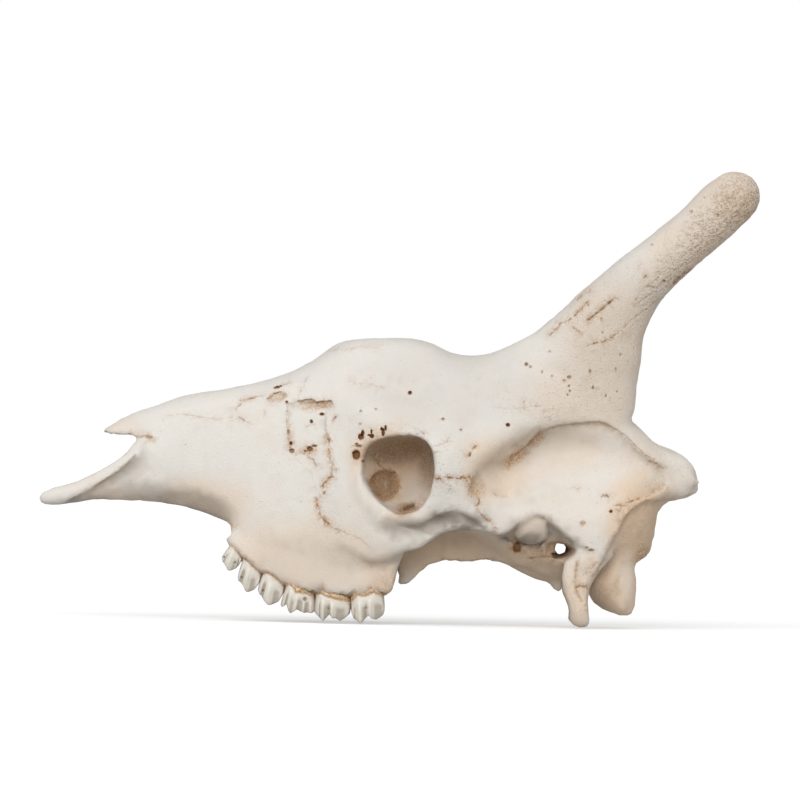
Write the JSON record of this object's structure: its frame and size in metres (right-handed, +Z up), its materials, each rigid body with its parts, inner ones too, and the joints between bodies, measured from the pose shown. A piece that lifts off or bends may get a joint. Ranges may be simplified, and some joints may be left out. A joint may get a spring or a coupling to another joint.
{
  "type": "giraffe skull",
  "caption": "Adult southern giraffe skull without its lower jaw: long narrow muzzle, domed forehead, backswept horns, open eye sockets and cheek teeth, resting on its teeth and skull base.",
  "frame": {"origin": "middle of the skull's box in X and Y, at the level of the surface that it rests on", "axes": "-X towards the nose, +X towards the horn tips, -Y towards the animal's left side, +Z up as it rests"},
  "size_m": [0.7123, 0.2416, 0.459],
  "materials": {
    "bone": "dry bleached bone, fine grained, with brown stains, pits and open sutures",
    "enamel": "worn tooth enamel, ribbed, stained brown at the necks"
  },
  "bodies": {
    "root": {"cranium": "bone", "left_p2": "enamel", "left_p3": "enamel", "left_p4": "enamel", "left_m1": "enamel", "left_m2": "enamel", "left_m3": "enamel", "right_p2": "enamel", "right_p3": "enamel", "right_p4": "enamel", "right_m1": "enamel", "right_m2": "enamel", "right_m3": "enamel"}
  },
  "joints": []
}
